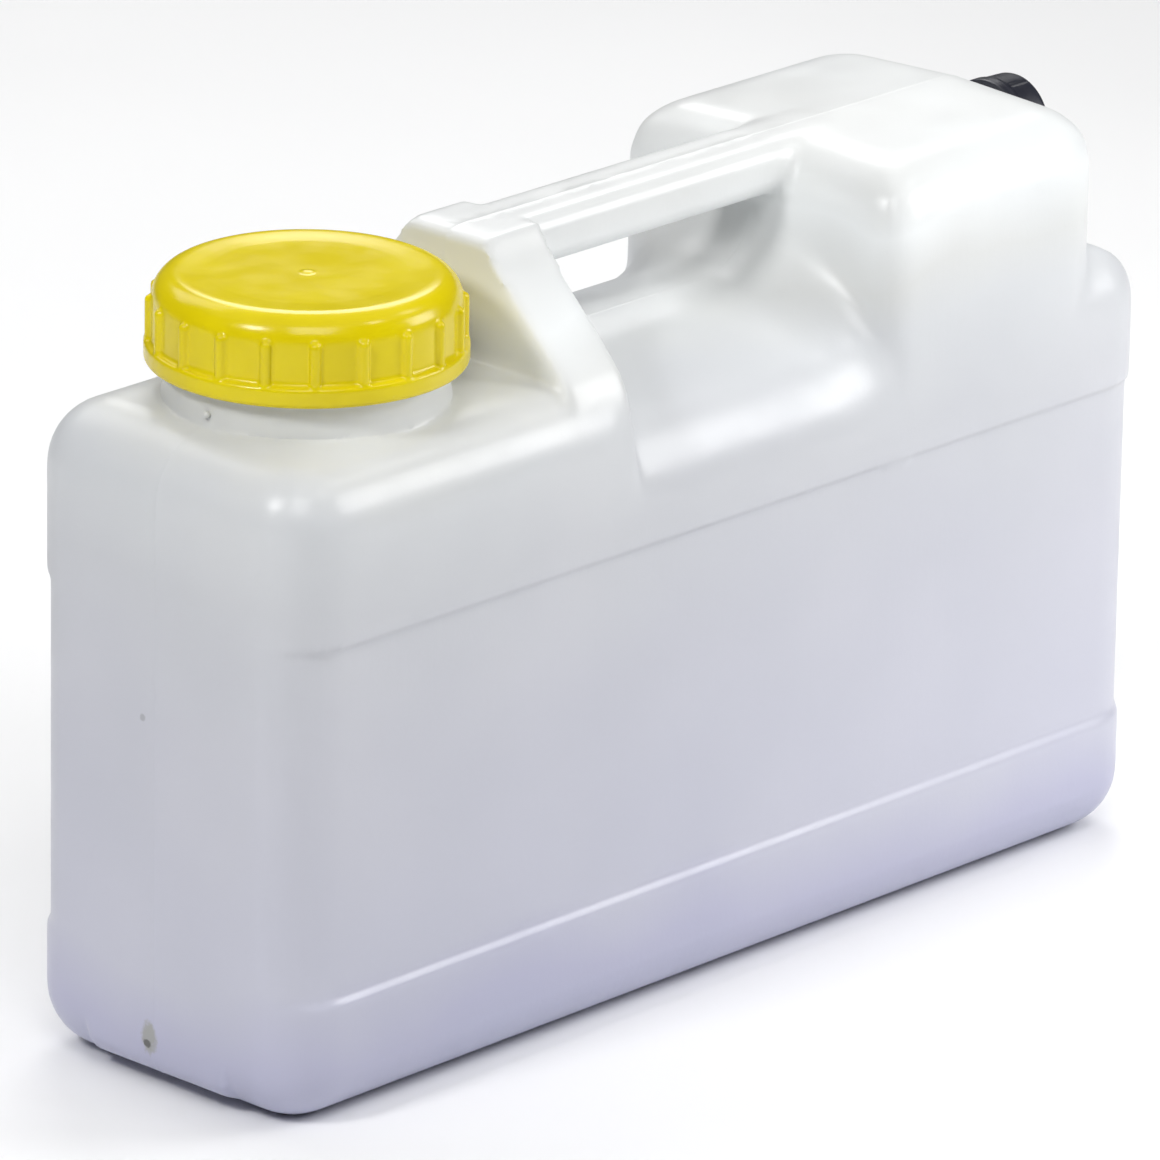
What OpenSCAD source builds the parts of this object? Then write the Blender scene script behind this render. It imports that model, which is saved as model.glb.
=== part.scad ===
// Water jerrycan with a wide filler neck, a carrying handle and a small outlet.
// The can is one blow-moulded shell. Each neck has a screw cap with a sealing ring.
// X runs along the can from the filler end to the outlet end, Z is up, and the
// origin is the middle of the footprint on the ground. All sizes are in millimetres.

/* [Can] */
// Length of the can over its end faces
can_length = 434; // [400:2:480]
// Width of the can over its long sides
can_width = 132; // [122:1:150]
// Height of the can over its grip and the tank behind it
top_height = 276; // [250:1:310]
// Depth of the filler neck's deck below the can's top
deck_drop = 44; // [40:0.5:52]
// Thickness of the blown wall
wall = 2.0; // [1.6:0.1:2.8]
// Radius of the upright corners
corner_radius = 24; // [20:1:28]
// Radius between the sides and the base
foot_radius = 23; // [16:1:26]
// Radius between the long sides and the deck
deck_edge_radius = 23; // [16:1:26]
// Radius between the filler end face and the deck
filler_edge_radius = 27; // [20:1:30]

/* [Side panel] */
// Height where the recessed panel starts
panel_low = 43; // [34:1:60]
// Depth of the recessed panel's upper edge below the can's top
panel_drop = 104; // [100:1:130]
// Depth of the recessed panel
panel_depth = 1.8; // [0.8:0.1:2.4]
// Height of the slope at each edge of the panel
panel_slope = 3; // [2:0.5:5]

/* [Base] */
// Width of the channel along the middle of the base
channel_width = 66; // [50:1:74]
// Height of the channel above the feet
channel_height = 5; // [3:0.5:7]
// Radius of the end face's lower edge where the channel runs out
heel_radius = 9; // [7:0.5:12]

/* [Handle] */
// Length of the finger opening from the post to the tank
grip_length = 127; // [110:1:135]
// Width of the grip bar
grip_width = 29; // [26:0.5:32]
// Thickness of the grip bar
grip_thickness = 19.5; // [17:0.5:22]
// Radius of the grip bar's long edges
grip_edge_radius = 6; // [4:0.5:8]
// Length of the post between the filler cap and the opening
post_length = 28; // [24:1:32]
// Width of the post at its top
post_top_width = 35; // [33:0.5:38]
// Chamfer between the post's top and its flanks
post_chamfer = 3; // [1:0.5:4]
// Height over which the post's foot runs out into the long sides
post_foot = 29; // [24:1:34]
// Radius where the post's top turns down to the filler cap
post_round = 10; // [6:0.5:12]
// Clear height for the fingers between the grip and the saddle's crest
finger_height = 28; // [24:0.5:30]
// Drop of the saddle from its crest to the long sides
saddle_drop = 44.5; // [36:0.5:46]
// Radius between the saddle and the tank's front wall
saddle_fillet = 22; // [14:1:24]

/* [Tank] */
// Set-back of the tank from the outlet end face
ledge_length = 25.5; // [22:0.5:30]
// Depth of the ledge in front of the tank below the can's top
ledge_drop = 54; // [50:1:62]
// Radius of the ledge's outer edge
ledge_radius = 32; // [26:1:36]
// Radius of the tank's upright corners at the grip
tank_front_radius = 12; // [8:1:16]
// Radius of the tank's top edges
tank_edge_radius = 20; // [14:1:22]
// Fall of the tank's top from its middle line to its long edges
tank_crown = 3; // [1:0.5:5]

/* [Filler neck] */
// Distance from the filler end face to the neck's axis
filler_inset = 71; // [64:1:76]
// Outside diameter of the filler neck
filler_diameter = 96; // [90:1:98]
// Bore of the filler neck
filler_bore = 88; // [80:1:89]
// Width of the raised ring at the foot of the neck
filler_collar_width = 1.6; // [1:0.1:3]
// Height of the raised ring at the foot of the neck
filler_collar_height = 4; // [2:0.5:6]
// Height of the neck left in sight under the cap
filler_neck_shown = 13; // [9:0.5:16]

/* [Filler cap] */
// Outside diameter of the cap's rim
filler_cap_diameter = 109.6; // [106:0.2:112]
// Height of the cap from rim to crown
filler_cap_height = 31; // [28:0.5:34]
// Thickness of the cap's wall
filler_cap_wall = 2.2; // [1.6:0.1:3]
// Height of the rim
filler_rim_height = 7; // [5:0.5:9]
// Step from the rim in to the skirt
filler_rim_step = 2.5; // [1.5:0.1:3]
// Radius of the crown's shoulder
filler_crown_radius = 9.5; // [6:0.5:11]
// Depth of the dish in the crown
filler_dish_depth = 0.8; // [0.4:0.1:1.2]
// Number of grip ribs on the skirt
filler_rib_count = 20; // [12:1:28]
// Width of one grip rib
filler_rib_width = 3.4; // [2.4:0.2:5]
// Height of a rib proud of the skirt
filler_rib_depth = 1.3; // [0.8:0.1:1.6]
// Length of a rib above the rim
filler_rib_length = 15; // [10:0.5:16]
// Chamfer around the rim's lower edge
filler_rim_chamfer = 1.8; // [0.6:0.2:2]
// Gap between the post and the cap's rim
filler_cap_gap = 11; // [8:0.5:14]

/* [Outlet] */
// Depth of the outlet's axis below the can's top
outlet_drop = 24; // [22:0.5:27]
// Outside diameter of the outlet neck
outlet_diameter = 26.4; // [24:0.1:28]
// Bore of the outlet neck
outlet_bore = 20; // [16:0.5:22]
// Length of the outlet neck in front of the tank
outlet_length = 17; // [14:0.5:20]

/* [Outlet cap] */
// Outside diameter of the cap at its open edge
outlet_cap_diameter = 34.4; // [32:0.2:36]
// Length of the cap
outlet_cap_length = 17.4; // [15:0.2:20]
// Taper of the cap's radius from its open edge to its end
outlet_cap_taper = 0.9; // [0.2:0.1:1.4]
// Thickness of the cap's wall
outlet_cap_wall = 2; // [1.6:0.1:2.4]
// Length of the smooth band at the cap's open edge
outlet_band_length = 5; // [3:0.5:7]
// Step from the smooth band in to the grip lands
outlet_band_step = 0.4; // [0.2:0.1:0.8]
// Rounding between the grip lands and the cap's end
outlet_end_rounding = 1.6; // [0.8:0.2:2.4]
// Number of grip lands on the cap
outlet_grip_count = 8; // [6:1:12]
// Depth of the grooves between the grip lands
outlet_groove_depth = 0.9; // [0.4:0.1:1.2]
// Width of the grooves between the grip lands
outlet_groove_width = 2.2; // [1:0.1:3]

/* [Sealing rings] */
// Thickness of the filler cap's sealing ring
filler_seal_thickness = 2; // [1.5:0.1:3]
// Thickness of the outlet cap's sealing ring
outlet_seal_thickness = 1.8; // [1.2:0.1:2.4]
// Running gap left between a neck and its sealing ring
seal_gap = 0.3; // [0.2:0.05:0.5]

/* [Hidden] */

// How far a sealing ring reaches in past the lip it seals
seal_overlap = 3;
// Steps in each upright corner, in each rounded edge, and along and across the saddle
corner_steps = 6;
edge_steps = 5;
hollow_steps = 12;
arch_steps = 18;
// How far a joined part is sunk into its neighbour, and how far its side stays inside
sink = 14;
flush = 0.1;
// Smallest corner left where a rounded edge uses up the upright corner
least_corner = 1;
// Steps in the rounded crown of the filler cap
crown_steps = 8;
round_fn = 96;
rib_fn = 24;
// How far a cutting shape runs past what it cuts
past = 1;
// Lift of the joined parts' lower ends above the side panel
joint_lift = 5;
// Places across an end face, as shares of its half width
face_shares = [-0.8, -0.4, 0, 0.4, 0.8];
// Flare of the base channel's flanks down to the ground
channel_flare = 2;
// Post's flank from the grip down: share of the way out to the long side, and share of
// the height from the deck to the top, then share of the foot's height under the deck
flank_above = [[0.11, 0.8], [0.69, 0.2], [0.85, 0]];
flank_below = [[0.94, 0.4]];
// Small slopes and edge breaks on the two caps
rim_slope = 0.6;
dish_slope = 5;
band_slope = 0.5;
edge_break = 0.5;

half_length = can_length/2;
half_width = can_width/2;
deck_height = top_height - deck_drop;
ledge_height = top_height - ledge_drop;
panel_high = top_height - panel_drop;
saddle_height = top_height - grip_thickness - finger_height;
outlet_height = top_height - outlet_drop;
filler_x = -half_length + filler_inset;
post_x = filler_x + filler_cap_diameter/2 + filler_cap_gap;
grip_x = post_x + post_length;
tank_x = grip_x + grip_length;
tank_end = half_length - ledge_length;
saddle_foot = saddle_height - saddle_drop;
joined_from = panel_high + panel_slope + joint_lift;
// The deck steps down to the ledge inside the tank
block_breaks = [tank_x + sink, tank_end - sink];

filler_rim_z = deck_height + filler_neck_shown;
filler_crown_z = filler_rim_z + filler_cap_height;
filler_skirt_radius = filler_cap_diameter/2 - filler_rim_step;
filler_cap_inside = filler_skirt_radius - filler_cap_wall;
filler_inner_radius = filler_crown_radius/2;
filler_roof_z = filler_crown_z - filler_dish_depth - filler_cap_wall;
filler_lip_z = filler_roof_z - filler_seal_thickness - seal_gap;
filler_collar_radius = filler_diameter/2 + filler_collar_width;

outlet_lip_x = tank_end + outlet_length;
outlet_roof_x = outlet_lip_x + seal_gap + outlet_seal_thickness;
outlet_cap_end = outlet_roof_x + outlet_cap_wall;
outlet_cap_start = outlet_cap_end - outlet_cap_length;
outlet_cap_inside = outlet_cap_diameter/2 - outlet_cap_taper - outlet_cap_wall - outlet_groove_depth/2;

white = [0.92, 0.93, 0.91];
yellow = [0.95, 0.83, 0.02];
black = [0.09, 0.09, 0.11];
grey = [0.55, 0.56, 0.56];

// Inset of a rounded edge at one angle, 0 on the wall and 90 on the flat
function edge_inset(r, a) = r*(1 - cos(a));
function edge_rise(r, a) = r*(1 - sin(a));
function mix(a, b, k) = a + (b - a)*k;

// One ring of a moulded block, clockwise from above. ends holds the two end
// planes, radii the two corner radii, and breaks the two places on the long sides
// between which the height changes. Insets are given for the first end, the long
// sides and the second end, and heights for each end and the sides next to it.
function ring(ends, width, radii, insets, heights, middles, breaks) =
    let (xa = ends[0] + insets[0], xb = ends[1] - insets[2], y = width - insets[1])
    let (rax = max(radii[0] - insets[0], least_corner), ray = max(radii[0] - insets[1], least_corner))
    let (rbx = max(radii[1] - insets[2], least_corner), rby = max(radii[1] - insets[1], least_corner))
    let (corner_a = [for (i = [0:corner_steps]) let (a = 90*i/corner_steps)
        [xa + rax - rax*sin(a), y - ray + ray*cos(a), mix(heights[1], heights[0], pow(sin(a), 2))]])
    let (corner_b = [for (i = [0:corner_steps]) let (a = 90*i/corner_steps)
        [xb - rbx + rbx*sin(a), y - rby + rby*cos(a), mix(heights[2], heights[3], pow(sin(a), 2))]])
    let (face_a = [for (k = face_shares) [xa + middle_step(k, middles[0]), k*(y - ray), heights[0]]])
    let (face_b = [for (k = face_shares) [xb - middle_step(k, middles[1]), k*(y - rby), heights[3]]])
    let (side_a = [breaks[0], y, heights[1]], side_b = [breaks[1], y, heights[2]])
    concat(
        mirror_y([side_a]),
        mirror_y(corner_a),
        face_a,
        backwards(corner_a),
        [side_a, side_b],
        corner_b,
        backwards(face_b),
        backwards(mirror_y(corner_b)),
        mirror_y([side_b]));

// The lower edge of an end face is tighter in its middle than at the feet
function middle_step(k, step) = -step*(1 - pow(k, 2));
function mirror_y(points) = [for (p = points) [p[0], -p[1], p[2]]];
function backwards(points) = [for (i = [len(points) - 1:-1:0]) points[i]];

// Faces that close a ring of n points over two points on the middle line. start is the
// ring's first point and mid the first of the two, and turn is 1 for a lid, 0 for a base.
function closing(n, start, mid, turn) =
    let (half = n/2)
    let (faces = concat(
        [for (i = [0:half - 2]) [mid, start + i, start + i + 1]],
        [for (i = [half:n - 2]) [mid + 1, start + i, start + i + 1]],
        [[mid, start + half - 1, start + half], [mid, start + half, mid + 1]],
        [[mid + 1, start + n - 1, start], [mid + 1, start, mid]]))
    turn == 1 ? faces : [for (f = faces) [f[0], f[2], f[1]]];

// A closed skin over a list of rings, with a hipped top over a ridge of two points
module skin(rings, ridge) {
    n = len(rings[0]);
    m = len(rings);
    base_z = rings[0][0][2];
    keel = [for (p = ridge) [p[0], 0, base_z]];
    sides = [for (j = [0:m - 2], i = [0:n - 1]) let (k = (i + 1)%n)
        each [[j*n + i, j*n + k, (j + 1)*n + k], [j*n + i, (j + 1)*n + k, (j + 1)*n + i]]];
    polyhedron(concat([for (r = rings) each r], ridge, keel),
        concat(sides, closing(n, n*(m - 1), n*m, 1), closing(n, 0, n*m + 2, 0)));
}

// Rings of the main block at inset t from its outside
function block_ring(t, insets, heights, middle = 0) = ring(
    [-half_length + t, half_length - t], half_width - t, [corner_radius - t, corner_radius - t],
    insets, heights, [middle, middle], block_breaks);
function level(z) = [z, z, z, z];

function block_rings(t) =
    let (foot = foot_radius - t, heel = heel_radius - t)
    let (low = [for (k = [0:edge_steps]) let (a = 90*(1 - k/edge_steps)) let (i = edge_inset(foot, a))
        block_ring(t, [i, i, i], level(t + edge_rise(foot, a)),
            i - heel_inset(heel, edge_rise(foot, a) - channel_height))])
    let (outer = [0, 0, 0], inner = [0, panel_depth, 0])
    let (panel = [
        block_ring(t, outer, level(panel_low)),
        block_ring(t, inner, level(panel_low + panel_slope)),
        block_ring(t, inner, level(panel_high)),
        block_ring(t, outer, level(panel_high + panel_slope))])
    let (filler = filler_edge_radius - t, side = deck_edge_radius - t, ledge = ledge_radius - t)
    let (high = [for (k = [0:edge_steps]) let (a = 90*k/edge_steps) block_ring(t,
        [edge_inset(filler, a), edge_inset(side, a), edge_inset(ledge, a)],
        [deck_height - t - edge_rise(filler, a), deck_height - t - edge_rise(side, a),
         ledge_height - t - edge_rise(side, a), ledge_height - t - edge_rise(ledge, a)])])
    concat(low, panel, high);

// Inset of a tight lower edge of radius r at height z above the channel's roof
function heel_inset(r, z) = z <= 0 ? r : z < r ? r - sqrt(pow(r, 2) - pow(r - z, 2)) : 0;

// Main block with its deck and its ledge
module block(t) {
    skin(block_rings(t),
        [[block_breaks[0], 0, deck_height - t], [block_breaks[1], 0, ledge_height - t]]);
}

// Tank that stands up behind the handle
module tank(t) {
    radii = [tank_front_radius - t, corner_radius - t];
    ends = [tank_x + t, tank_end - t];
    width = half_width - flush - t;
    edge = tank_edge_radius - t;
    side_z = top_height - tank_crown - t;
    ridge = [tank_x + tank_edge_radius + sink, tank_end - tank_edge_radius - sink];
    base = ring(ends, width, radii, [0, 0, 0], level(joined_from), [0, 0], ridge);
    top = [for (k = [0:edge_steps]) let (a = 90*k/edge_steps) let (i = edge_inset(edge, a))
        ring(ends, width, radii, [i, i, i], level(side_z - edge_rise(edge, a)), [0, 0], ridge)];
    skin(concat([base], top), [[ridge[0], 0, top_height - t], [ridge[1], 0, top_height - t]]);
}

// Height of the saddle at inset t, an arch that rises in a hollow to the tank's wall
function saddle_z(x, y, t) =
    let (reach = half_width - flush - t, r = saddle_fillet + t)
    let (run = max(0, min(x - (tank_x - saddle_fillet), r)))
    saddle_foot + (saddle_drop - t)*sqrt(max(0, 1 - pow(y/reach, 2))) + r - sqrt(pow(r, 2) - pow(run, 2));

// Saddle between the post and the tank at inset t
module saddle(t) {
    x_from = grip_x - sink;
    x_to = tank_x + sink;
    floor_z = joined_from;
    reach = half_width - flush - t;
    r = saddle_fillet + t;
    hollow = [for (i = [0:hollow_steps]) tank_x - saddle_fillet + r*sin(90*i/hollow_steps)];
    xs = concat([x_from], hollow, [x_to]);
    ny = arch_steps;
    columns = len(xs);
    top = [for (x = xs, j = [0:ny]) let (y = -reach*cos(180*j/ny))
        [x, y, saddle_z(x, y, t)]];
    low = [for (p = top) [p[0], p[1], floor_z]];
    row = ny + 1;
    size = columns*row;
    upper = [for (i = [0:columns - 2], j = [0:ny - 1]) let (a = i*row + j)
        each [[a, a + 1, a + row + 1], [a, a + row + 1, a + row]]];
    lower = [for (f = upper) [size + f[2], size + f[1], size + f[0]]];
    near = [for (i = [0:columns - 2]) let (a = i*row)
        each [[a, a + row, size + a + row], [a, size + a + row, size + a]]];
    far = [for (i = [0:columns - 2]) let (a = i*row + ny)
        each [[a + row, a, size + a], [a + row, size + a, size + a + row]]];
    first = [for (j = [0:ny - 1]) each [[j + 1, j, size + j], [j + 1, size + j, size + j + 1]]];
    end = (columns - 1)*row;
    second = [for (j = [0:ny - 1]) let (a = end + j)
        each [[a, a + 1, size + a + 1], [a, size + a + 1, size + a]]];
    polyhedron(concat(top, low), concat(upper, lower, near, far, first, second));
}

// Half outline of the post seen along the can: narrow at the grip, full width below
function post_side() =
    let (reach = half_width - flush, top = post_top_width/2, cut = post_chamfer)
    concat(
        [[top - cut, top_height], [top, top_height - cut]],
        [for (f = flank_above) [mix(top, reach, f[0]), deck_height + f[1]*deck_drop]],
        [for (f = flank_below) [mix(top, reach, f[0]), deck_height - f[1]*post_foot]],
        [[reach, deck_height - post_foot], [reach, joined_from]]);

// A path moved inwards by t, to the side away from the outline's outside
function unit(v) = v/norm(v);
function turned(v) = [v[1], -v[0]];
function moved_in(path, t) = [for (i = [0:len(path) - 1])
    let (a = i == 0 ? path[1] - path[0] : path[i] - path[i - 1])
    let (b = i == len(path) - 1 ? a : path[i + 1] - path[i])
    let (na = turned(unit(a)), nb = turned(unit(b)))
    path[i] + t*(na + nb)/(1 + na*nb)];

// Post between the filler cap and the finger opening
module post(t) {
    side = moved_in(post_side(), t);
    top_z = top_height - t;
    open = [for (p = side) [max(p[0], least_corner), min(p[1], top_z)]];
    section = concat([[0, top_z]], open, [[0, joined_from]]);
    outline = concat([for (p = section) [p[0], p[1]]], [for (p = backwards(section)) [-p[0], p[1]]]);
    r = post_round - t;
    profile = concat(
        [[post_x + t, joined_from - past]],
        [for (k = [0:edge_steps]) let (a = 90*k/edge_steps)
            [post_x + t + edge_inset(r, a), top_z - edge_rise(r, a)]],
        [[grip_x - t, top_z], [grip_x - t, joined_from - past]]);
    intersection() {
        translate([post_x - past, 0, 0]) rotate([90, 0, 90])
            linear_extrude(post_length + 2*past) polygon(outline);
        rotate([90, 0, 0]) linear_extrude(can_width, center = true) polygon(profile);
    }
}

// Grip bar from the post into the tank's top
module grip(t) {
    w = grip_width/2 - t;
    h = grip_thickness - 2*t;
    r = grip_edge_radius - t;
    x_from = grip_x - sink;
    section = [for (c = [[w - r, h - r, 0], [r - w, h - r, 90], [r - w, r, 180], [w - r, r, 270]],
        k = [0:edge_steps]) [c[0] + r*cos(c[2] + 90*k/edge_steps), c[1] + r*sin(c[2] + 90*k/edge_steps)]];
    translate([x_from, 0, top_height - grip_thickness + t]) rotate([90, 0, 90])
        linear_extrude(tank_x + tank_edge_radius + sink - x_from) polygon(section);
}

// The closed blown form at inset t, before its necks are opened
module form(t) {
    cut_from = joined_from + 2*past;
    difference() {
        block(t);
        translate([grip_x - sink/2, -can_width, cut_from])
            cube([grip_length + sink, 2*can_width, top_height]);
    }
    saddle(t);
    tank(t);
    post(t);
    grip(t);
}

// Channel along the base, widened by t on the inside of the wall
module channel(t) {
    half = channel_width/2 + t;
    h = channel_height + t;
    low = half + channel_flare;
    high = half - channel_height;
    rotate([90, 0, 90]) linear_extrude(can_length + 2*sink, center = true)
        polygon([[-low, -past], [low, -past], [high, h], [-high, h]]);
}

// Blow-moulded can with its two open necks
module can() {
    color(white) difference() {
        union() {
            difference() {
                form(0);
                channel(0);
            }
            translate([filler_x, 0, deck_height - sink/2]) {
                cylinder(h = sink/2 + filler_lip_z - deck_height, d = filler_diameter, $fn = round_fn);
                cylinder(h = sink/2 + filler_collar_height, r = filler_collar_radius, $fn = round_fn);
            }
            translate([tank_end - sink, 0, outlet_height]) rotate([0, 90, 0])
                cylinder(h = sink + outlet_length, d = outlet_diameter, $fn = round_fn);
        }
        difference() {
            form(wall);
            channel(wall);
        }
        translate([filler_x, 0, deck_height - 2*wall])
            cylinder(h = top_height, d = filler_bore, $fn = round_fn);
        translate([tank_end - 2*wall, 0, outlet_height]) rotate([0, 90, 0])
            cylinder(h = can_length, d = outlet_bore, $fn = round_fn);
    }
}

// Screw cap of the filler neck: a rim, a ribbed skirt and a rounded, dished crown
module filler_cap() {
    rim = filler_cap_diameter/2;
    skirt = filler_skirt_radius;
    r = filler_crown_radius;
    h = filler_cap_height;
    inner_r = filler_inner_radius;
    roof = filler_roof_z - filler_rim_z;
    dish = h - filler_dish_depth;
    crown = [for (k = [0:crown_steps]) let (a = 90*k/crown_steps)
        [skirt - edge_inset(r, a), h - edge_rise(r, a)]];
    under = [for (k = [crown_steps:-1:0]) let (a = 90*k/crown_steps)
        [filler_cap_inside - edge_inset(inner_r, a), roof - edge_rise(inner_r, a)]];
    section = concat(
        [[filler_cap_inside, 0], [rim - filler_rim_chamfer, 0], [rim, filler_rim_chamfer]],
        [[rim, filler_rim_height], [skirt, filler_rim_height + rim_slope]],
        crown,
        [[skirt - r - dish_slope, dish], [0, dish], [0, roof]],
        under);
    color(yellow) translate([filler_x, 0, filler_rim_z]) {
        rotate_extrude($fn = round_fn) polygon(section);
        for (i = [0:filler_rib_count - 1]) rotate(360*i/filler_rib_count) filler_rib();
    }
}

// One round-topped grip rib of the filler cap
module filler_rib() {
    r = filler_rib_width/2;
    base = filler_skirt_radius - filler_cap_wall/2;
    depth = filler_cap_wall/2 + filler_rib_depth;
    straight = filler_rib_length - r + past;
    translate([base, 0, filler_rim_height - past]) rotate([90, 0, 90]) linear_extrude(depth) union() {
        translate([-r, 0]) square([2*r, straight]);
        translate([0, straight]) circle(r, $fn = rib_fn);
    }
}

// Flat sealing ring held in the roof of the filler cap, bevelled to clear its corner
module filler_seal() {
    h = filler_seal_thickness;
    inner = filler_bore/2 - seal_overlap;
    outer = filler_cap_inside - filler_inner_radius;
    color(grey) translate([filler_x, 0, filler_roof_z - h]) rotate_extrude($fn = round_fn)
        polygon([[inner, 0], [outer + filler_inner_radius/2, 0], [outer - seal_gap, h], [inner, h]]);
}

// Screw cap of the outlet, with a smooth band and grooves between its grip lands
module outlet_cap() {
    r = outlet_cap_diameter/2;
    e = r - outlet_cap_taper;
    length = outlet_cap_length;
    depth = length - outlet_cap_wall;
    round = outlet_end_rounding;
    band = outlet_band_length;
    floor_r = r - outlet_band_step - outlet_groove_depth;
    section = [[outlet_cap_inside, 0], [r - edge_break, 0], [r, edge_break], [r, band],
        [r - outlet_band_step, band + band_slope], [e, length - round],
        [e - 0.3*round, length - 0.3*round], [e - round, length], [0, length],
        [0, depth], [outlet_cap_inside, depth]];
    color(black) translate([outlet_cap_start, 0, outlet_height]) rotate([0, 90, 0]) difference() {
        rotate_extrude($fn = round_fn) polygon(section);
        for (i = [0:outlet_grip_count - 1]) rotate(360*(i + 0.5)/outlet_grip_count)
            translate([floor_r, -outlet_groove_width/2, band + band_slope])
                cube([r - floor_r + past, outlet_groove_width, length]);
    }
}

// Flat sealing ring held in the end of the outlet cap
module outlet_seal() {
    h = outlet_seal_thickness;
    inner = outlet_bore/2 - seal_overlap/2;
    color(grey) translate([outlet_lip_x + seal_gap, 0, outlet_height]) rotate([0, 90, 0])
        difference() {
            cylinder(h = h, r = outlet_cap_inside - seal_gap, $fn = round_fn);
            translate([0, 0, -past])
                cylinder(h = h + 2*past, r = inner, $fn = round_fn);
        }
}

can();
filler_cap();
filler_seal();
outlet_cap();
outlet_seal();
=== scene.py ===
import math
import bmesh
import bpy
from mathutils import Matrix, Vector


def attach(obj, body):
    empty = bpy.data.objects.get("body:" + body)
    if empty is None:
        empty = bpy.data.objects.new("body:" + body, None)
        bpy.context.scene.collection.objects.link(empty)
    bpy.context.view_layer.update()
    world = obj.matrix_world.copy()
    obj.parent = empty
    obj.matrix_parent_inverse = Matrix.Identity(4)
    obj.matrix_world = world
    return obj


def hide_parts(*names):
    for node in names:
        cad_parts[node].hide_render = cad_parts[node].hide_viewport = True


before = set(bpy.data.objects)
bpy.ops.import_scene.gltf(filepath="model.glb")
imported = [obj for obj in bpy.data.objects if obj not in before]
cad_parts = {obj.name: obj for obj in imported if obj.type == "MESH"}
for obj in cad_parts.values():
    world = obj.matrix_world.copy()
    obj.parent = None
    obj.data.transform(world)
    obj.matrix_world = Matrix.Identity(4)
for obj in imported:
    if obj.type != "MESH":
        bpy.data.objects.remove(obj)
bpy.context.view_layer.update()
bpy.ops.object.select_all(action="DESELECT")

# The can: one hollow piece of natural polyethylene, blow-moulded between two mould halves.
# Body, post, grip, tank and both necks run into each other in soft hollows, and the halves
# leave a fine line along the middle. All sizes are in millimetres, times mm.
mm = 0.001
end_x, side_y = 216.7, 65.95
ledge_z, deck_z, top_z = 222, 232, 275.7
corner_round, foot_round, ledge_round = 24, 23, 32
panel_low, panel_high, panel_side = 44.5, 171, 63.7
channel_side, channel_deep, heel_round = 35, 5, 9
grip_from, grip_to = -52, 75
arch_from, arch_foot, arch_high, arch_hollow = -66, 184, 44.5, 27
tank_to, tank_fall, tank_round, tank_front_round = 191.5, 3, 19, 11
post_thick, post_foot, post_round = 28, 176, 11
bar_side, bar_low, bar_round = 14.5, 256.5, 6.2
filler_x, filler_lip, filler_neck, filler_bore, filler_pitch = -146, 270.7, 48, 44, 7
outlet_z, outlet_lip, outlet_neck, outlet_bore, outlet_pitch = 252, 208.5, 12.2, 10, 1.81
wall, parting_line, past = 2.2, 0.13, 90


def work_on(ob):
    bpy.ops.object.select_all(action="DESELECT")
    ob.select_set(True)
    bpy.context.view_layer.objects.active = ob


def edit(ob, kind="FACE"):
    work_on(ob)
    bpy.ops.object.mode_set(mode="EDIT")
    bpy.ops.mesh.select_mode(type=kind)


def done():
    bpy.ops.object.mode_set(mode="OBJECT")
    return bpy.context.object


def settle(name):
    bpy.ops.object.transform_apply(location=True, rotation=True, scale=True)
    bpy.context.object.name = name
    return bpy.context.object


def block(name, low, high):
    bpy.ops.mesh.primitive_cube_add(
        size=1,
        location=[(a + b) / 2 * mm for a, b in zip(low, high)],
        scale=[(b - a) * mm for a, b in zip(low, high)])
    return settle(name)


def rod(name, radius, length, centre, along="Z", corners=96):
    turn = {"X": (0, math.radians(90), 0), "Y": (math.radians(90), 0, 0), "Z": (0, 0, 0)}[along]
    bpy.ops.mesh.primitive_cylinder_add(
        vertices=corners, radius=radius * mm, depth=length * mm,
        location=[c * mm for c in centre], rotation=turn)
    return settle(name)


def pick(ob, kind, test):
    mesh = bmesh.from_edit_mesh(ob.data)
    items = {"VERT": mesh.verts, "EDGE": mesh.edges, "FACE": mesh.faces}[kind]
    for item in items:
        item.select_set(False)
    for item in items:
        if kind == "VERT":
            chosen = test(item.co / mm)
        elif kind == "EDGE":
            chosen = test(item.verts[0].co / mm, item.verts[1].co / mm)
        else:
            chosen = test(item.calc_center_median() / mm, item.normal)
        if chosen:
            item.select_set(True)
    bmesh.update_edit_mesh(ob.data)


def extrude(x, y, z, spread=(1, 1, 1)):
    bpy.ops.mesh.extrude_region_move(TRANSFORM_OT_translate={"value": (x * mm, y * mm, z * mm)})
    bpy.ops.transform.resize(value=spread)


def round_edges(ob, test, radius, steps):
    edit(ob, "EDGE")
    pick(ob, "EDGE", test)
    bpy.ops.mesh.bevel(offset=radius * mm, segments=steps, profile=0.5, clamp_overlap=False, affect="EDGES")
    done()


def shape(ob, kind, **settings):
    work_on(ob)
    modifier = ob.modifiers.new(kind.lower(), kind)
    for key, value in settings.items():
        setattr(modifier, key, value)
    bpy.ops.object.modifier_apply(modifier=modifier.name)


def combine(ob, tool, operation):
    shape(ob, "BOOLEAN", object=tool, operation=operation, solver="EXACT")
    bpy.data.objects.remove(tool, do_unlink=True)


def joined(name, parts):
    work_on(parts[0])
    for part in parts:
        part.select_set(True)
    bpy.ops.object.join()
    parts[0].name = name
    return parts[0]


def copy_of(ob, name):
    work_on(ob)
    bpy.ops.object.duplicate()
    bpy.context.object.name = name
    return bpy.context.object


def outward(ob):
    edit(ob, "VERT")
    bpy.ops.mesh.select_all(action="SELECT")
    bpy.ops.mesh.remove_doubles(threshold=0.01 * mm)
    bpy.ops.mesh.normals_make_consistent(inside=False)
    return done()


def level_edge(a, b, z):
    return abs(a.z - z) < 0.05 and abs(b.z - z) < 0.05


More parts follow.
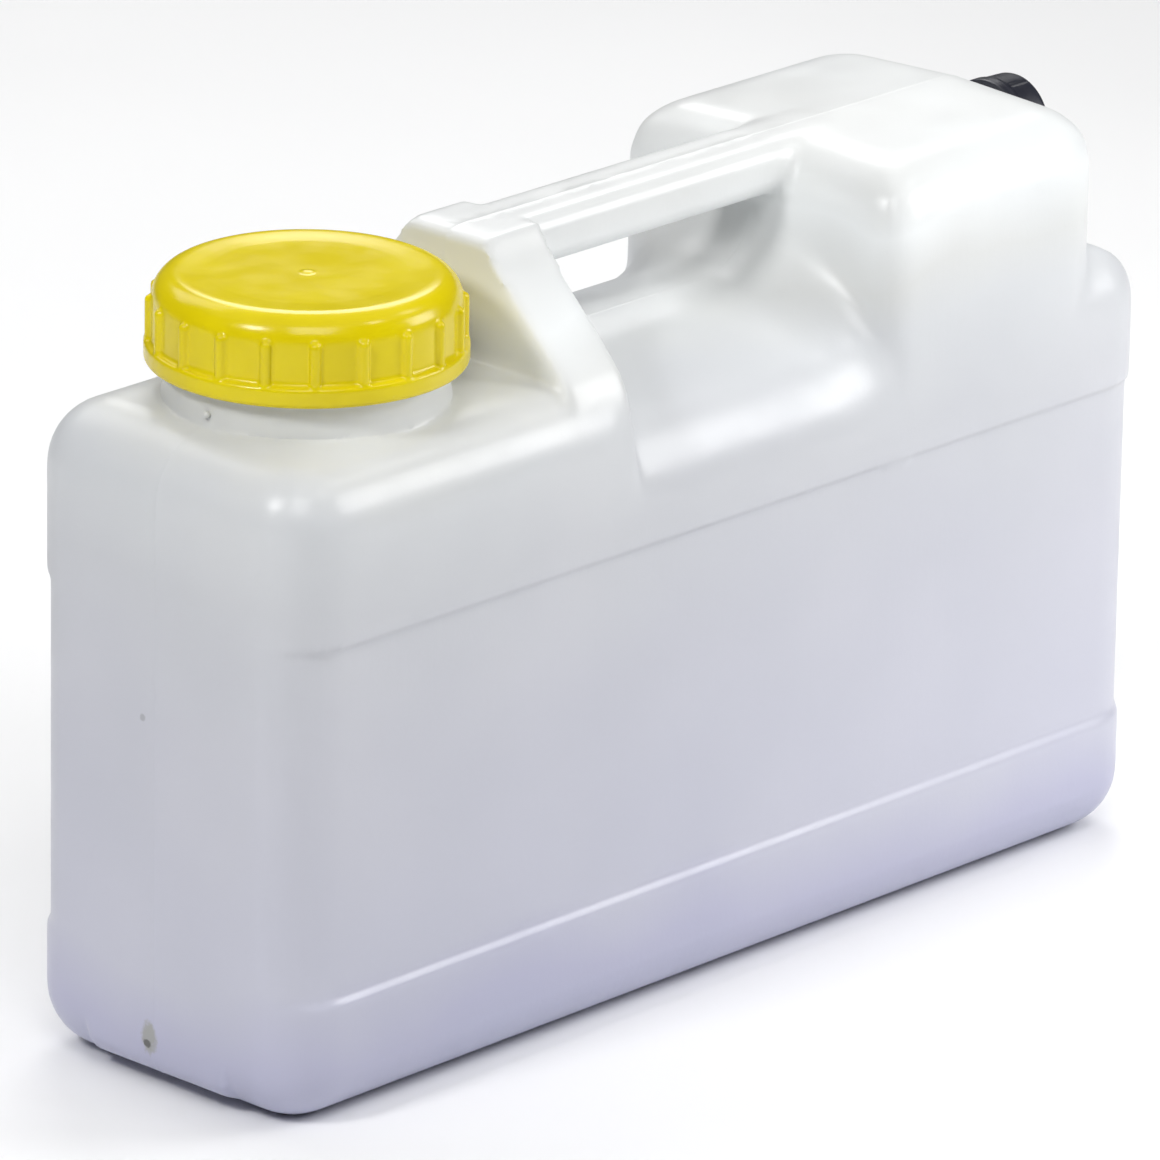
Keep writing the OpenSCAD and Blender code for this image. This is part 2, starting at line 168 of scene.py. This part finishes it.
def upright(a, b):
    return abs(a.x - b.x) < 0.05 and abs(a.y - b.y) < 0.05 and abs(a.z - b.z) > 1


def turned(name, rings, place, along="Z", corners=144, hole=False):
    """A piece turned about its axis through rings of (radius, height) at its place."""
    radius, height = rings[0]
    bpy.ops.mesh.primitive_circle_add(
        vertices=corners, radius=radius * mm, fill_type="NOTHING" if hole else "NGON",
        location=(0, 0, height * mm))
    ob = settle(name)
    edit(ob, "EDGE" if hole else "FACE")
    bpy.ops.mesh.select_all(action="SELECT")
    way_round = rings[1:] + rings[:1] if hole else rings[1:]
    for next_radius, next_height in way_round:
        move = {"value": (0, 0, (next_height - height) * mm)}
        if hole:
            bpy.ops.mesh.extrude_edges_move(TRANSFORM_OT_translate=move)
        else:
            bpy.ops.mesh.extrude_region_move(TRANSFORM_OT_translate=move)
        share = next_radius / radius
        bpy.ops.transform.resize(value=(share, share, 1))
        radius, height = next_radius, next_height
    done()
    return seated(outward(ob), place, along)


def seated(ob, place, along="Z"):
    work_on(ob)
    if along == "X":
        ob.rotation_euler = (0, math.radians(90), 0)
    ob.location = [c * mm for c in place]
    return settle(ob.name)


def thread(name, root, crest, width, pitch, turns, start, place, along="Z", steps=72):
    """A screw thread's ridge from its root to its crest, with both ends run out."""
    run_out = 0.08
    foot = root - 0.6 if crest > root else root + 0.6
    bpy.ops.mesh.primitive_plane_add(size=1)
    ob = settle(name)
    edit(ob, "VERT")
    mesh = bmesh.from_edit_mesh(ob.data)
    mesh.verts.ensure_lookup_table()
    section = ((foot, -width / 2), (crest, -width / 5), (foot, width / 2), (crest, width / 5))
    for vert, (r, z) in zip(mesh.verts, section):
        vert.co = (r * mm, 0, z * mm)
    bmesh.update_edit_mesh(ob.data)
    bpy.ops.mesh.select_all(action="SELECT")
    bpy.ops.mesh.delete(type="ONLY_FACE")
    done()
    shape(ob, "SCREW", axis="Z", angle=math.radians(360 * turns), screw_offset=pitch * turns * mm,
          steps=int(steps * turns), render_steps=int(steps * turns), use_merge_vertices=False)
    for vert in ob.data.vertices:
        around = math.atan2(vert.co.y, vert.co.x) / math.tau
        run = around + round(vert.co.z / mm / pitch - around)
        share = max(0, min(1, min(run, turns - run) / run_out))
        radius = math.hypot(vert.co.x, vert.co.y) / mm
        if abs(radius - crest) < 0.2:
            keep = (foot + (crest - foot) * share) / radius
            vert.co.x *= keep
            vert.co.y *= keep
    edit(ob, "EDGE")
    bpy.ops.mesh.select_all(action="DESELECT")
    bpy.ops.mesh.select_non_manifold()
    bpy.ops.mesh.fill_holes(sides=0)
    bpy.ops.mesh.select_all(action="SELECT")
    bpy.ops.mesh.normals_make_consistent(inside=False)
    bpy.ops.transform.translate(value=(0, 0, start * mm))
    done()
    return seated(ob, place, along)


def body_half(name, x_high, top):
    ob = block(name, (-end_x, -side_y, 0), (x_high, side_y, top))
    round_edges(ob, upright, corner_round, 12)
    round_edges(ob, lambda a, b: level_edge(a, b, 0) or level_edge(a, b, top), foot_round, 9)
    return ob


# Body up to the ledge, with the recessed panel round its long sides.
body = body_half("body", end_x, ledge_z)
panel = block("panel", (-240, -past, panel_low), (240, past, panel_high))
core = block("core", (-end_x - 0.7, -panel_side, 30), (end_x + 0.7, panel_side, 190))
round_edges(core, upright, corner_round + 0.4, 12)
combine(panel, core, "DIFFERENCE")
combine(body, panel, "DIFFERENCE")
ledge = block("ledge", (185, -past, ledge_z - ledge_round), (240, past, 240))
ledge_centre = (end_x - ledge_round, 0, ledge_z - ledge_round)
combine(ledge, rod("ledge_round", ledge_round, 200, ledge_centre, "Y"), "DIFFERENCE")
combine(body, ledge, "DIFFERENCE")

# Channel along the base, and the end faces that run down to it.
channel = block("channel", (-240, -channel_side, -1), (240, channel_side, channel_deep))
edit(channel)
pick(channel, "FACE", lambda c, n: n.z > 0.9)
bpy.ops.transform.resize(value=(1, 0.8, 1))
done()
combine(body, channel, "DIFFERENCE")
heel = block("heel", (-end_x, 3 - channel_side, channel_deep), (end_x, channel_side - 3, 60))
round_edges(heel, lambda a, b: level_edge(a, b, channel_deep) and abs(a.x - b.x) < 1, heel_round, 8)

# Deck around the filler neck, up to the tank.
deck = body_half("deck", 150, deck_z)
combine(deck, block("below_deck", (-240, -past, -10), (240, past, 185)), "DIFFERENCE")
for part in (body, deck):
    grip_space = block("grip_space", (grip_from - 10, -past, arch_foot), (grip_to + 9, past, 260))
    combine(part, grip_space, "DIFFERENCE")

# Saddle under the grip: an arch that rises in a hollow to the tank's wall.
arch_to = grip_to - arch_hollow
saddle = rod("saddle", 1, arch_to - arch_from, ((arch_from + arch_to) / 2, 0, 0), "X", 128)
edit(saddle)
bpy.ops.mesh.select_all(action="SELECT")
bpy.ops.transform.resize(value=(1, side_y - 0.1, arch_high))
bpy.ops.transform.translate(value=(0, 0, arch_foot * mm))
pick(saddle, "FACE", lambda c, n: n.x > 0.9)
reached, arch = 0, arch_high
for angle in range(10, 91, 10):
    run = arch_hollow * math.sin(math.radians(angle))
    rise = arch_high + arch_hollow * (1 - math.cos(math.radians(angle)))
    extrude(run - reached, 0, 0, (1, 1, rise / arch))
    reached, arch = run, rise
extrude(12, 0, 0)
done()

# Tank behind the grip, its top falling a little from the middle to both sides.
tank = block("tank", (grip_to, -side_y, 176), (tank_to, side_y, top_z))
edit(tank)
bpy.ops.mesh.select_all(action="SELECT")
bpy.ops.mesh.bisect(plane_co=(0, 0, 0.2), plane_no=(0, 1, 0))
bpy.ops.mesh.select_mode(type="VERT")
pick(tank, "VERT", lambda p: p.z > 270 and abs(p.y) > 50)
bpy.ops.transform.translate(value=(0, 0, -tank_fall * mm))
done()
weights = tank.data.attributes.new("bevel_weight_edge", "FLOAT", "EDGE")
for edge in tank.data.edges:
    a, b = [tank.data.vertices[v].co / mm for v in edge.vertices]
    along_middle = abs(a.y) < 1 and abs(b.y) < 1
    if min(a.z, b.z) > 270 and not along_middle:
        weights.data[edge.index].value = tank_round / corner_round
    elif upright(a, b) and not along_middle:
        weights.data[edge.index].value = 1.0 if a.x > 100 else tank_front_round / corner_round
shape(tank, "BEVEL", width=corner_round * mm, segments=10, limit_method="WEIGHT", use_clamp_overlap=False)

# Post between the filler cap and the opening, drawn in towards the grip.
bpy.ops.mesh.primitive_plane_add(size=1, location=((grip_from - post_thick / 2) * mm, 0, post_foot * mm))
bpy.context.object.scale = (post_thick * mm, 131.8 * mm, 1)
post = settle("post")
edit(post)
bpy.ops.mesh.select_all(action="SELECT")
height, half = post_foot, 65.9
for z, y in ((203, 65.9), (212, 64.6), (221, 62.5), (227, 60.4), (232, 57.6), (237, 53.4), (241, 50),
             (262, 28.6), (266, 24.6), (270, 21.4), (273, 19.4), (top_z, 17.5)):
    extrude(0, 0, z - height, (1, y / half, 1))
    height, half = z, y
done()
shape(post, "WELD", merge_threshold=0.00001)
round_edges(post, lambda a, b: level_edge(a, b, top_z) and a.x < -79 and b.x < -79, post_round, 8)

grip = block("grip", (-60, -bar_side, bar_low), (104, bar_side, top_z))
round_edges(grip, lambda a, b: abs(a.x - b.x) > 10, bar_round, 8)

# The outside is melted into one skin, most of all in the hollows round the handle.
inside = joined("inside", [copy_of(part, "in") for part in (body, heel, deck, saddle, tank, post, grip)])
neck_foot = rod("neck_foot", filler_neck + 0.2, 20, (filler_x, 0, 224))
outlet_foot = rod("outlet_foot", outlet_neck + 0.4, 14, (186, 0, outlet_z), "X", 64)
can = joined("can_shell", [body, heel, deck, saddle, tank, post, grip, neck_foot, outlet_foot])
shape(can, "REMESH", mode="VOXEL", voxel_size=1.6 * mm)


def zone(ob, name, test):
    group = ob.vertex_groups.new(name=name)
    for vert in ob.data.vertices:
        strength = test(vert.co / mm)
        if strength > 0:
            group.add([vert.index], min(strength, 1), "REPLACE")


def hollows(p):
    if p.x < -110 or p.x > 193 or p.z < 176:
        return 0
    if p.z > 262 and p.x < 70:
        return 0
    return min((p.z - 176) / 12, 1)


zone(can, "hollows", hollows)
shape(can, "SMOOTH", factor=0.5, iterations=3)
shape(can, "SMOOTH", factor=0.5, iterations=20, vertex_group="hollows")
shape(can, "DECIMATE", ratio=0.36)

# The parting line of the mould halves stands up by about an eighth of a millimetre.
edit(can, "VERT")
for y in (-0.5, 0, 0.5):
    bpy.ops.mesh.select_all(action="SELECT")
    bpy.ops.mesh.bisect(plane_co=(0, y * mm, 0), plane_no=(0, 1, 0))
pick(can, "VERT", lambda p: abs(p.y) < 0.02)
bpy.ops.transform.shrink_fatten(value=parting_line * mm)
done()

# Necks with their threads, turned in the blow mould with the can.
neck = turned("neck", [
    (49.2, 226), (49, 232), (48.7, 234.5), (48.25, 236.5), (filler_neck, 239), (filler_neck, 269.4),
    (47.6, 270.3), (46.8, filler_lip), (40, filler_lip)], (filler_x, 0, 0))
combine(neck, thread("neck_thread", filler_neck, filler_neck + 1.5, 3.2, filler_pitch, 2.1, 250.5,
                     (filler_x, 0, 0)), "UNION")
bpy.ops.mesh.primitive_uv_sphere_add(
    segments=16, ring_count=10, radius=1.3 * mm, location=((filler_x - 49.2) * mm, -2 * mm, 237 * mm))
combine(neck, settle("neck_nub"), "UNION")
combine(can, neck, "UNION")
outlet = turned("outlet", [
    (13.2, 186), (13.2, 194.4), (12.4, 195), (outlet_neck, 196), (outlet_neck, 207.4), (11.8, 208.2),
    (11.2, outlet_lip), (6, outlet_lip)], (0, 0, outlet_z), "X", 96)
outlet = joined("outlet", [
    outlet, thread("outlet_thread", outlet_neck, outlet_neck + 1, 1.3, outlet_pitch, 5.5, 196.9,
                   (0, 0, outlet_z), "X")])
shape(outlet, "REMESH", mode="VOXEL", voxel_size=0.3 * mm)
shape(outlet, "DECIMATE", ratio=0.35)
combine(can, outlet, "UNION")

# Inside of the wall, and the bores of the two necks.
shape(inside, "REMESH", mode="VOXEL", voxel_size=3.5 * mm)
shape(inside, "SMOOTH", factor=0.5, iterations=5)
shape(inside, "DISPLACE", strength=-wall * mm, mid_level=0)
shape(inside, "DECIMATE", ratio=0.3)
bore = turned("bore", [
    (filler_bore, 215), (filler_bore, 269.8), (44.9, 270.8), (44.9, 285)], (filler_x, 0, 0))
combine(inside, bore, "UNION")
small_bore = turned("small_bore", [(outlet_bore, 183), (outlet_bore, 220)], (0, 0, outlet_z), "X", 96)
combine(inside, small_bore, "UNION")
combine(can, inside, "DIFFERENCE")
can.data.name = "can_shell"
work_on(can)
bpy.ops.object.shade_smooth_by_angle(angle=math.radians(50))


def new_material(name):
    material = bpy.data.materials.new(name)
    material.use_nodes = True
    return material


class Finish:
    """The node work that every finish here shares: patterns on Object coordinates."""

    def __init__(self, name, **sockets):
        self.material = new_material(name)
        self.nodes = self.material.node_tree.nodes
        self.links = self.material.node_tree.links
        self.shader = self.nodes["Principled BSDF"]
        for key, value in sockets.items():
            self.shader.inputs[key.replace("_", " ")].default_value = value
        self.where = self.nodes.new("ShaderNodeTexCoord").outputs["Object"]
        self.bumps = None

    def noise(self, scale, detail=2.0, stretch=None):
        node = self.nodes.new("ShaderNodeTexNoise")
        node.inputs["Scale"].default_value = scale
        node.inputs["Detail"].default_value = detail
        source = self.where
        if stretch:
            mapping = self.nodes.new("ShaderNodeMapping")
            mapping.inputs["Scale"].default_value = stretch
            self.links.new(source, mapping.inputs["Vector"])
            source = mapping.outputs["Vector"]
        self.links.new(source, node.inputs["Vector"])
        return node.outputs["Fac"]

    def ramp(self, fac, stops, smooth=True):
        node = self.nodes.new("ShaderNodeValToRGB")
        ramp = node.color_ramp
        ramp.interpolation = "EASE" if smooth else "LINEAR"
        while len(ramp.elements) < len(stops):
            ramp.elements.new(0.5)
        for element, (place, colour) in zip(ramp.elements, stops):
            element.position = place
            element.color = (*colour, 1) if isinstance(colour, tuple) else (colour, colour, colour, 1)
        self.links.new(fac, node.inputs["Fac"])
        return node.outputs["Color"]

    def mix(self, share, a, b, blend="MIX"):
        node = self.nodes.new("ShaderNodeMix")
        node.data_type = "RGBA"
        node.blend_type = blend
        for value, socket in ((share, node.inputs["Factor"]), (a, node.inputs["A"]), (b, node.inputs["B"])):
            if isinstance(value, (float, int)):
                socket.default_value = value
            elif isinstance(value, tuple):
                socket.default_value = (*value, 1)
            else:
                self.links.new(value, socket)
        return node.outputs["Result"]

    def sums(self, operation, a, b):
        node = self.nodes.new("ShaderNodeMath")
        node.operation = operation
        for value, socket in ((a, node.inputs[0]), (b, node.inputs[1])):
            if isinstance(value, (float, int)):
                socket.default_value = value
            else:
                self.links.new(value, socket)
        return node.outputs[0]

    def part(self, axis):
        node = self.nodes.new("ShaderNodeSeparateXYZ")
        self.links.new(self.where, node.inputs["Vector"])
        return node.outputs[axis]

    def spot(self, centre, reach, ragged=0.0):
        """1 at a small place on the surface, falling to 0 at its reach, in millimetres."""
        mapping = self.nodes.new("ShaderNodeMapping")
        mapping.vector_type = "TEXTURE"
        mapping.inputs["Location"].default_value = [c * mm for c in centre]
        mapping.inputs["Scale"].default_value = [r * mm for r in reach]
        self.links.new(self.where, mapping.inputs["Vector"])
        length = self.nodes.new("ShaderNodeVectorMath")
        length.operation = "LENGTH"
        self.links.new(mapping.outputs["Vector"], length.inputs[0])
        away = length.outputs["Value"]
        if ragged:
            away = self.sums("ADD", away, self.sums("MULTIPLY", self.noise(420, 3), ragged))
            away = self.sums("SUBTRACT", away, ragged / 2)
        return self.sums("SUBTRACT", 1, self.ramp(away, ((0.55, 0.0), (1.0, 1.0))))

    def bump(self, height, depth, strength=1.0):
        node = self.nodes.new("ShaderNodeBump")
        node.inputs["Strength"].default_value = strength
        node.inputs["Distance"].default_value = depth * mm
        self.links.new(height, node.inputs["Height"])
        if self.bumps:
            self.links.new(self.bumps, node.inputs["Normal"])
        self.bumps = node.outputs["Normal"]

    def put_on(self, ob, colour, roughness):
        self.links.new(colour, self.shader.inputs["Base Color"])
        self.links.new(roughness, self.shader.inputs["Roughness"])
        if self.bumps:
            self.links.new(self.bumps, self.shader.inputs["Normal"])
        ob.data.materials.clear()
        ob.data.materials.append(self.material)


# Milky polyethylene, cloudy where the blown wall is thicker, with painted shade and light up the can, a satin
# orange-peel skin, a pinch-off scar and a speck on the filler end face.
milk = Finish("natural_polyethylene", IOR=1.5)
clouds = milk.ramp(milk.noise(9, 2), ((0.3, (0.94, 0.945, 0.955)), (0.7, (1.0, 1.0, 1.0))))
# Painted shade and light, not the plastic's own even colour: the colour darkens and turns bluer towards the foot,
# standing in for shade and bluish bounced light low down, and lightens near the grip and tank, standing in for
# light shining through the thin upper walls. Noise makes the bands ragged.
uneven = milk.sums("MULTIPLY", milk.sums("SUBTRACT", milk.noise(12, 2), 0.5), 0.16)
up_the_can = milk.sums("ADD", milk.sums("MULTIPLY", milk.part("Z"), 1 / 0.276), uneven)
painted_shade_up_the_can = milk.ramp(up_the_can, (
    (0.0, (0.47, 0.48, 0.63)), (0.09, (0.50, 0.50, 0.645)), (0.18, (0.57, 0.575, 0.665)),
    (0.45, (0.575, 0.58, 0.64)), (0.66, (0.60, 0.61, 0.64)), (0.78, (0.66, 0.675, 0.69)),
    (0.84, (0.69, 0.70, 0.69)), (0.92, (0.84, 0.86, 0.86)), (1.0, (0.73, 0.74, 0.73))), smooth=False)
white = milk.mix(1.0, clouds, painted_shade_up_the_can, "MULTIPLY")
scar = milk.spot((-217, 2.4, 19.5), (4, 4.2, 7), 0.9)
white = milk.mix(milk.sums("MULTIPLY", scar, 0.75), white, (0.33, 0.33, 0.28))
# Painted shade: a near-black spot just below the scar stands for the shade inside a small notch that has no shape
# of its own.
painted_notch_shade = milk.spot((-217, 3, 17.2), (3, 2.6, 1.6), 1.2)
white = milk.mix(milk.sums("MULTIPLY", painted_notch_shade, 0.8), white, (0.06, 0.06, 0.055))
speck = milk.spot((-217, 5.9, 133.6), (2, 1.6, 1.7), 0.5)
white = milk.mix(milk.sums("MULTIPLY", speck, 0.5), white, (0.25, 0.25, 0.27))
milk.bump(milk.noise(28, 2), 0.5, 0.35)
milk.bump(milk.noise(700, 2), 0.05, 0.4)
milk.bump(milk.noise(60, 1, (4, 4, 0.5)), 0.1, 0.25)
milk.put_on(can, white, milk.ramp(milk.noise(45, 3), ((0.3, 0.29), (0.7, 0.37))))
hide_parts("can")
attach(can, "can")

# The filler cap: injection-moulded yellow polyethylene with a rim, twenty rod-like grip ribs
# and a rounded crown that is dished around the mould's gate. It screws onto the neck.
cap_low, cap_bore, cap_thread = 245, 50.1, 48.6
ribs, rib_round, rib_at, first_rib = 20, 1.95, 52.35, 11.5
crown_round, crown_in, crown_up = 9.4, 42.8, 21.5
crown = [(crown_in + crown_round * math.cos(math.radians(a)),
          crown_up + crown_round * math.sin(math.radians(a))) for a in range(0, 91, 9)]
cap = turned("filler_cap_shell", [
    (44.5, 28), (47, 27.7), (49, 26.4), (cap_bore, 24.2), (cap_bore, 0.5), (50.6, 0.02), (53.3, 0.02), (54.2, 0.5),
    (54.7, 1.5), (54.7, 6.4), (54.2, 7.1), (52.9, 7.4), (52.3, 8.2), *crown, (40, 30.7), (37, 30.45),
    (33.5, 30.2), (29, 30.1), (12, 30.1), (2.6, 30.15), (2, 30.65), (1, 30.85)],
    (filler_x, 0, cap_low), corners=200)
rib = rod("rib", rib_round, 15.7, (rib_at, 0, 15.05), corners=20)
round_edges(rib, lambda a, b: level_edge(a, b, 22.9), 1.9, 6)
parts = [cap, thread(
    "cap_thread", cap_bore, cap_thread, 3.2, filler_pitch, 1.6, 3.6, (filler_x, 0, cap_low))]
for k in range(ribs):
    part = copy_of(rib, "rib")
    part.rotation_euler = (0, 0, math.radians(first_rib + k * 360 / ribs))
    parts.append(seated(part, (filler_x, 0, cap_low)))
bpy.data.objects.remove(rib, do_unlink=True)
filler_cap = joined("filler_cap_shell", parts)
shape(filler_cap, "REMESH", mode="VOXEL", voxel_size=0.6 * mm)
shape(filler_cap, "SMOOTH", factor=0.5, iterations=2)
shape(filler_cap, "DECIMATE", ratio=0.6)
work_on(filler_cap)
bpy.ops.object.shade_smooth_by_angle(angle=math.radians(60))

yellow = Finish("yellow_polyethylene", IOR=1.4)
swirl = yellow.ramp(yellow.noise(35, 3), ((0.3, (0.70, 0.56, 0.002)), (0.7, (0.75, 0.61, 0.003))))
dust = yellow.ramp(yellow.noise(520, 4), ((0.70, 0.0), (0.82, 1.0)))
swirl = yellow.mix(yellow.sums("MULTIPLY", dust, 0.12), swirl, (0.80, 0.74, 0.35))
yellow.bump(yellow.noise(60, 2), 0.12, 0.3)
yellow.bump(yellow.noise(900, 2), 0.02, 0.3)
yellow.put_on(filler_cap, swirl, yellow.ramp(yellow.noise(80, 3), ((0.3, 0.16), (0.7, 0.24))))
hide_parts("filler_cap")
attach(filler_cap, "filler_cap")

# The filler cap's seal: a flat ring of pale soft foam, pressed into the roof of the cap.
filler_seal = turned("filler_seal_ring", [
    (41.2, 271.05), (47.4, 271.05), (47.7, 271.3), (47.4, 272.3), (46.3, 272.95), (41.2, 272.95), (41, 272.7),
    (41, 271.3)], (filler_x, 0, 0), corners=96, hole=True)
work_on(filler_seal)
bpy.ops.object.shade_smooth_by_angle(angle=math.radians(30))
foam = Finish("seal_foam", IOR=1.45)
cells = foam.ramp(foam.noise(900, 3), ((0.35, (0.60, 0.60, 0.57)), (0.65, (0.74, 0.74, 0.71))))
foam.bump(foam.noise(1400, 3), 0.08, 0.6)
foam.put_on(filler_seal, cells, foam.ramp(foam.noise(200, 2), ((0.3, 0.7), (0.7, 0.85))))
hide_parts("filler_seal")
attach(filler_seal, "filler_lift")

# The outlet cap: a small blue-black screw cap with a smooth band at its open edge and eight
# grip lands that end in a softly rounded face.
outlet_from, outlet_cap_bore, outlet_cap_thread = 195.2, 13.85, 13.3
lands, groove_round, groove_at = 8, 1.5, 17.6
shell = turned("outlet_cap_shell", [
    (11, 15.4), (13, 15.4), (13.6, 15), (outlet_cap_bore, 14.2), (outlet_cap_bore, 0.5), (14.2, 0.02),
    (16.7, 0.02), (17.05, 0.35), (17.15, 0.9), (17.15, 4.6), (16.95, 5.1), (16.8, 5.6), (16.4, 15.3),
    (16.1, 16.4), (15.3, 17.15), (14.2, 17.35), (11.8, 17.35), (11.3, 17.05), (3, 17.0)],
    (outlet_from, 0, outlet_z), "X", 128)
groove = rod("groove", groove_round, 16, (groove_at, 0, 14.2), corners=20)
grooves = []
for k in range(lands):
    part = copy_of(groove, "groove")
    part.rotation_euler = (0, 0, math.radians((k + 0.5) * 360 / lands))
    work_on(part)
    grooves.append(seated(settle("groove"), (outlet_from, 0, outlet_z), "X"))
bpy.data.objects.remove(groove, do_unlink=True)
combine(shell, joined("grooves", grooves), "DIFFERENCE")
outlet_cap = joined("outlet_cap_shell", [
    shell, thread("cap_thread", outlet_cap_bore, outlet_cap_thread, 1.1, outlet_pitch, 5, 2.6,
                  (outlet_from, 0, outlet_z), "X")])
shape(outlet_cap, "REMESH", mode="VOXEL", voxel_size=0.34 * mm)
shape(outlet_cap, "SMOOTH", factor=0.5, iterations=2)
work_on(outlet_cap)
bpy.ops.object.shade_smooth_by_angle(angle=math.radians(60))

dark = Finish("blue_black_plastic", IOR=1.5)
ink = dark.ramp(dark.noise(120, 3), ((0.3, (0.006, 0.007, 0.014)), (0.7, (0.011, 0.012, 0.022))))
rub = dark.ramp(dark.noise(600, 4), ((0.66, 0.0), (0.8, 1.0)))
ink = dark.mix(dark.sums("MULTIPLY", rub, 0.2), ink, (0.05, 0.05, 0.055))
dark.bump(dark.noise(1500, 2), 0.02, 0.5)
dark.put_on(outlet_cap, ink, dark.ramp(dark.noise(250, 3), ((0.3, 0.36), (0.7, 0.48))))
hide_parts("outlet_cap")
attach(outlet_cap, "outlet_cap")

# The outlet cap's seal: a small ring of the same pale foam against the cap's end.
outlet_seal = turned("outlet_seal_ring", [
    (8.7, 208.85), (13.3, 208.85), (13.5, 209.1), (13.5, 210.3), (13.3, 210.55), (8.7, 210.55), (8.5, 210.3),
    (8.5, 209.1)], (0, 0, outlet_z), "X", 72, hole=True)
work_on(outlet_seal)
bpy.ops.object.shade_smooth_by_angle(angle=math.radians(30))
outlet_seal.data.materials.append(foam.material)
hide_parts("outlet_seal")
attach(outlet_seal, "outlet_draw")

# The studio: a long lens stands well off, a little above the can and round to its filler end,
# over a plain pale floor under soft boxes and a white ceiling.
camera_data = bpy.data.cameras.new("camera")
camera = bpy.data.objects.new("camera", camera_data)
bpy.context.scene.collection.objects.link(camera)
roll = math.radians(0.97)
azimuth, elevation = math.radians(46.97), math.radians(19.68)
back = Vector((
    -math.sin(azimuth) * math.cos(elevation), -math.cos(azimuth) * math.cos(elevation), math.sin(elevation)))
level = Vector((math.cos(azimuth), -math.sin(azimuth), 0))
up = back.cross(level)
right = math.cos(roll) * level + math.sin(roll) * up
top = math.cos(roll) * up - math.sin(roll) * level
camera.matrix_world = Matrix((
    (right.x, top.x, back.x, -2.6889),
    (right.y, top.y, back.y, -2.5003),
    (right.z, top.z, back.z, 1.4429),
    (0, 0, 0, 1)))
camera_data.lens = 349.36
camera_data.sensor_width = 36
camera_data.clip_end = 50
bpy.context.scene.camera = camera
bpy.context.scene.view_settings.view_transform = "Standard"

bpy.ops.mesh.primitive_plane_add(size=14, location=(0, 0, 0))
floor = bpy.context.object
floor.name = "floor"
paper = Finish("paper")
paper.put_on(floor, paper.ramp(paper.noise(3, 2), ((0.3, 0.93), (0.7, 0.95))),
             paper.ramp(paper.noise(5, 2), ((0.3, 0.88), (0.7, 0.92))))


def soft_box(name, place, size, power, colour=(1, 1, 1), aim=(0, 0, 0.12)):
    light = bpy.data.lights.new(name, "AREA")
    light.shape = "RECTANGLE"
    light.size, light.size_y = size
    light.energy = power
    light.color = colour
    lamp = bpy.data.objects.new(name, light)
    bpy.context.scene.collection.objects.link(lamp)
    lamp.location = place
    lamp.rotation_euler = (Vector(aim) - Vector(place)).to_track_quat("-Z", "Y").to_euler()


soft_box("left_box", (-1.42, 0, 1.3), (0.3, 0.3), 11)
soft_box("near_left_box", (-1.0, -1.0, 1.5), (0.9, 0.9), 11.5)
soft_box("front_box", (0.27, -1.0, 1.6), (0.22, 0.22), 1.5)
soft_box("right_box", (0.97, -0.52, 1.5), (0.22, 0.22), 1.5)
soft_box("low_right_box", (0.55, -0.6, 0.55), (0.4, 0.4), 4.2, aim=(0.2, 0, 0.2))
soft_box("back_box", (1.0, 1.0, 1.5), (0.9, 0.9), 13.5)
soft_box("far_box", (0, 1.42, 1.5), (0.9, 0.9), 6)
soft_box("ceiling", (0, 0, 2.4), (3.5, 3.5), 16)
world = bpy.data.worlds.new("studio")
bpy.context.scene.world = world
world.use_nodes = True
world.node_tree.nodes["Background"].inputs["Color"].default_value = (0.9, 0.93, 1, 1)
world.node_tree.nodes["Background"].inputs["Strength"].default_value = 0.05
